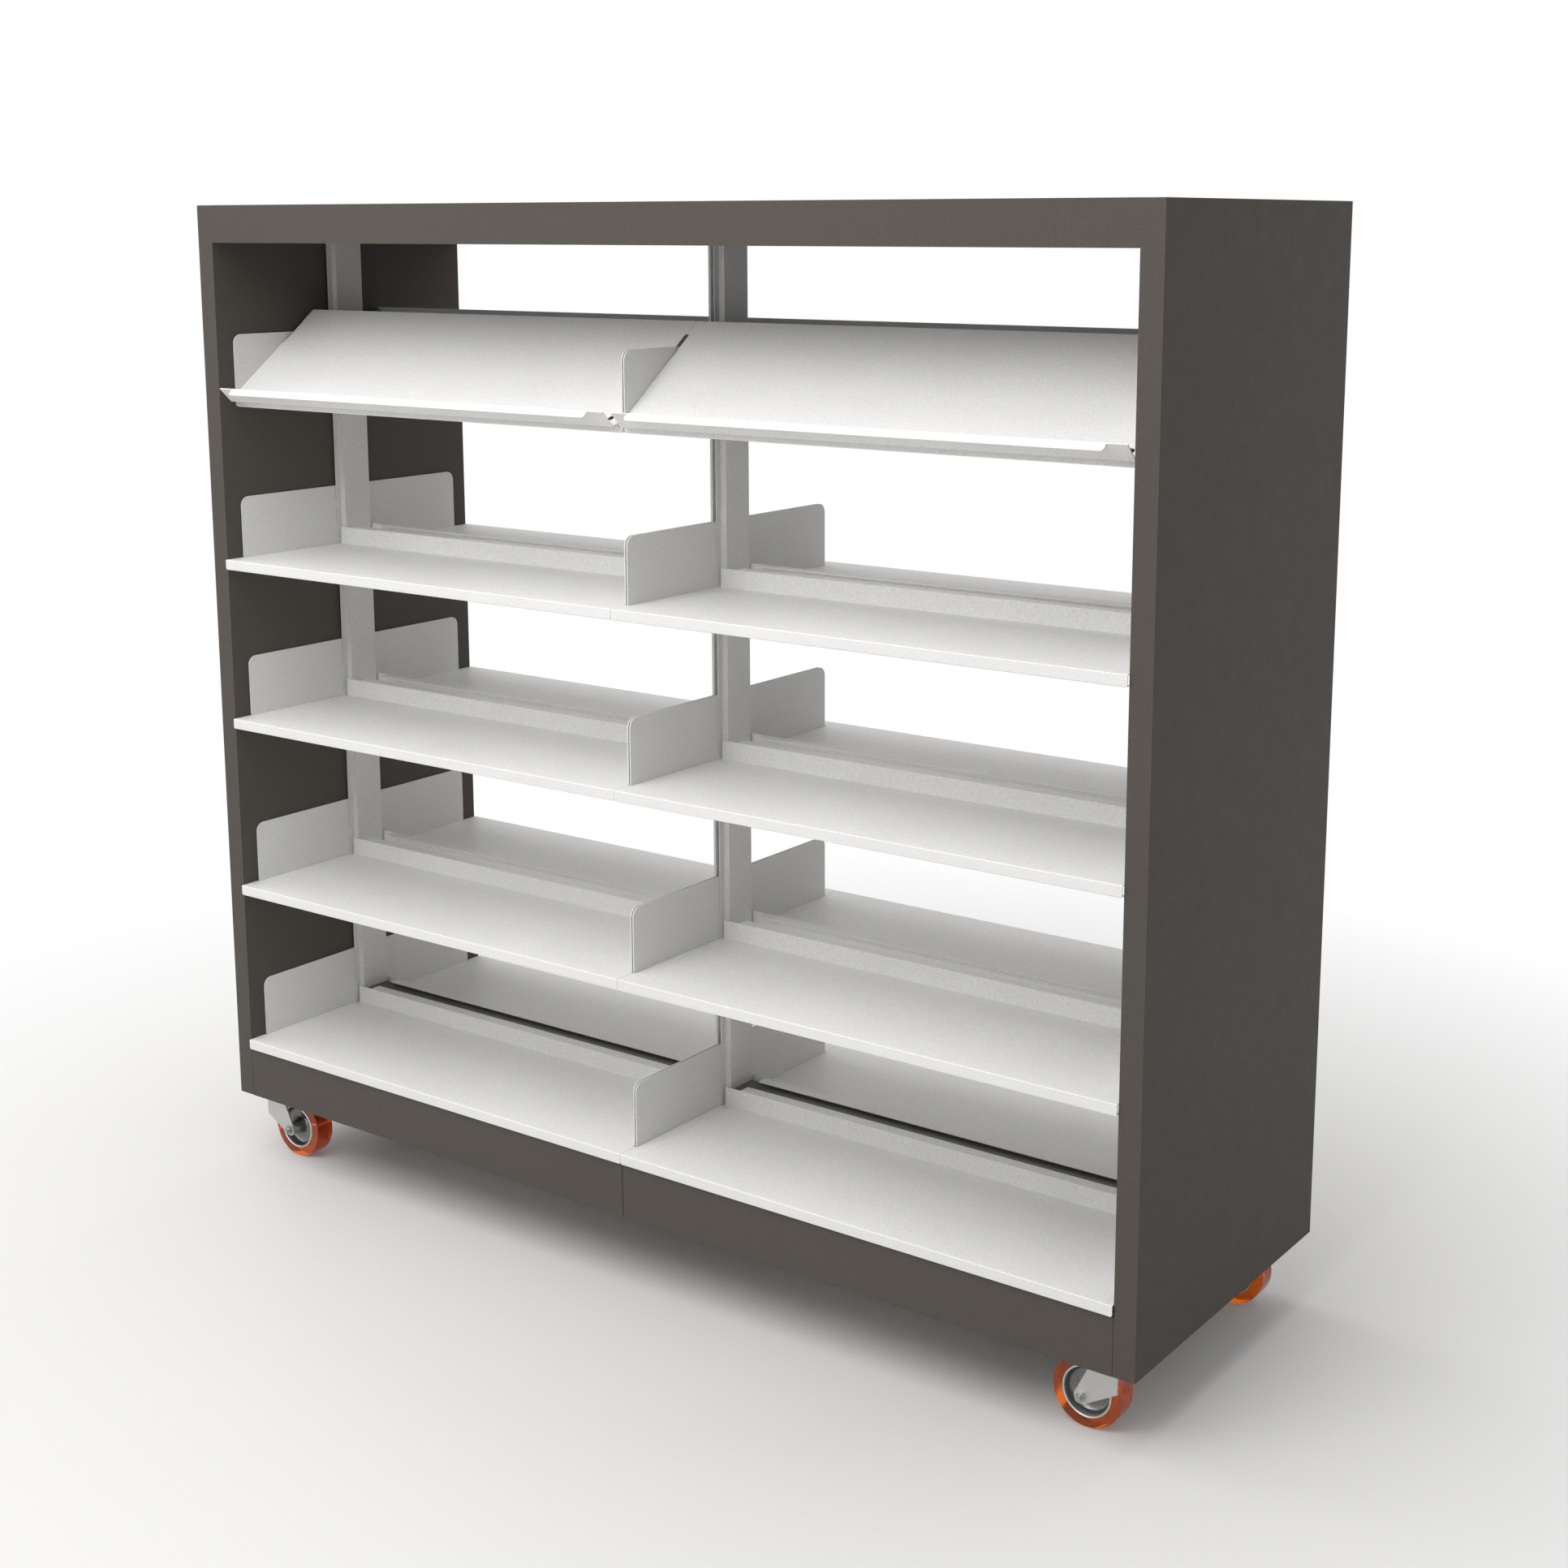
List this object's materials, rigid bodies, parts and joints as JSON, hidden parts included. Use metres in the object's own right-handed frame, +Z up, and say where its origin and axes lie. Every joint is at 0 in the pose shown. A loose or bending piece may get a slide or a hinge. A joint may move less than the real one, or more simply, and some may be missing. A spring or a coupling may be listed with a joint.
{
  "type": "periodical display rack",
  "caption": "Double-sided mobile library rack: flat cantilever shelves under sloped face-out display shelves, in a dark board case on swivel casters.",
  "frame": {"origin": "on the floor under the centre of the case", "axes": "+X along the rack to the right seen from the front, the front faces -Y, +Z up"},
  "size_m": [2.08, 0.6946, 1.936],
  "materials": {
    "case_board": "satin warm grey lacquer on board",
    "shelf_steel": "light grey fine textured powder coat",
    "bracket_steel": "mid grey fine textured powder coat",
    "post_steel": "mid grey fine textured powder coat",
    "base_steel": "dark grey fine textured powder coat",
    "zinc_steel": "bright zinc plate on pressed steel",
    "hub_alloy": "as cast and turned alloy",
    "tyre_pu": "translucent amber polyurethane"
  },
  "bodies": {
    "rack": {"base_cross_members": "base_steel", "brackets_tier_1": "bracket_steel", "brackets_tier_2": "bracket_steel", "brackets_tier_3": "bracket_steel", "brackets_tier_4": "bracket_steel", "brackets_tier_5": "bracket_steel", "canopy": "case_board", "caster_bolts": "zinc_steel", "display_panel_front_left": "shelf_steel", "display_panel_front_right": "shelf_steel", "display_panel_rear_left": "shelf_steel", "display_panel_rear_right": "shelf_steel", "display_tray_front_left": "shelf_steel", "display_tray_front_right": "shelf_steel", "display_tray_rear_left": "shelf_steel", "display_tray_rear_right": "shelf_steel", "end_panel_left": "case_board", "end_panel_right": "case_board", "plinth_front_left": "case_board", "plinth_front_right": "case_board", "plinth_rear_left": "case_board", "plinth_rear_right": "case_board", "post_left": "post_steel", "post_middle": "post_steel", "post_right": "post_steel", "shelf_tier_1_front_left": "shelf_steel", "shelf_tier_1_front_right": "shelf_steel", "shelf_tier_1_rear_left": "shelf_steel", "shelf_tier_1_rear_right": "shelf_steel", "shelf_tier_2_front_left": "shelf_steel", "shelf_tier_2_front_right": "shelf_steel", "shelf_tier_2_rear_left": "shelf_steel", "shelf_tier_2_rear_right": "shelf_steel", "shelf_tier_3_front_left": "shelf_steel", "shelf_tier_3_front_right": "shelf_steel", "shelf_tier_3_rear_left": "shelf_steel", "shelf_tier_3_rear_right": "shelf_steel", "shelf_tier_4_front_left": "shelf_steel", "shelf_tier_4_front_right": "shelf_steel", "shelf_tier_4_rear_left": "shelf_steel", "shelf_tier_4_rear_right": "shelf_steel", "spine_beams": "base_steel", "swivel_plates": "zinc_steel"},
    "fork_front_left": {"fork_front_left": "zinc_steel", "axle_front_left": "zinc_steel"},
    "wheel_front_left": {"hub_front_left": "hub_alloy", "tyre_front_left": "tyre_pu"},
    "fork_front_right": {"fork_front_right": "zinc_steel", "axle_front_right": "zinc_steel"},
    "wheel_front_right": {"hub_front_right": "hub_alloy", "tyre_front_right": "tyre_pu"},
    "fork_rear_left": {"fork_rear_left": "zinc_steel", "axle_rear_left": "zinc_steel"},
    "wheel_rear_left": {"hub_rear_left": "hub_alloy", "tyre_rear_left": "tyre_pu"},
    "fork_rear_right": {"fork_rear_right": "zinc_steel", "axle_rear_right": "zinc_steel"},
    "wheel_rear_right": {"hub_rear_right": "hub_alloy", "tyre_rear_right": "tyre_pu"}
  },
  "joints": [
    {"name": "swivel_front_left", "type": "hinge", "parent": "rack", "child": "fork_front_left", "pos_m": [-0.9655, -0.2615, 0.12], "axis": [0, 0, 1], "continuous": true},
    {"name": "roll_front_left", "type": "hinge", "parent": "fork_front_left", "child": "wheel_front_left", "pos_m": [-0.9295, -0.2615, 0.0625], "axis": [0, 1, 0], "continuous": true},
    {"name": "swivel_front_right", "type": "hinge", "parent": "rack", "child": "fork_front_right", "pos_m": [0.9655, -0.2615, 0.12], "axis": [0, 0, 1], "continuous": true},
    {"name": "roll_front_right", "type": "hinge", "parent": "fork_front_right", "child": "wheel_front_right", "pos_m": [0.9295, -0.2615, 0.0625], "axis": [0, 1, 0], "continuous": true},
    {"name": "swivel_rear_left", "type": "hinge", "parent": "rack", "child": "fork_rear_left", "pos_m": [-0.9655, 0.2615, 0.12], "axis": [0, 0, 1], "continuous": true},
    {"name": "roll_rear_left", "type": "hinge", "parent": "fork_rear_left", "child": "wheel_rear_left", "pos_m": [-0.9295, 0.2615, 0.0625], "axis": [0, 1, 0], "continuous": true},
    {"name": "swivel_rear_right", "type": "hinge", "parent": "rack", "child": "fork_rear_right", "pos_m": [0.9655, 0.2615, 0.12], "axis": [0, 0, 1], "continuous": true},
    {"name": "roll_rear_right", "type": "hinge", "parent": "fork_rear_right", "child": "wheel_rear_right", "pos_m": [0.9295, 0.2615, 0.0625], "axis": [0, 1, 0], "continuous": true}
  ]
}
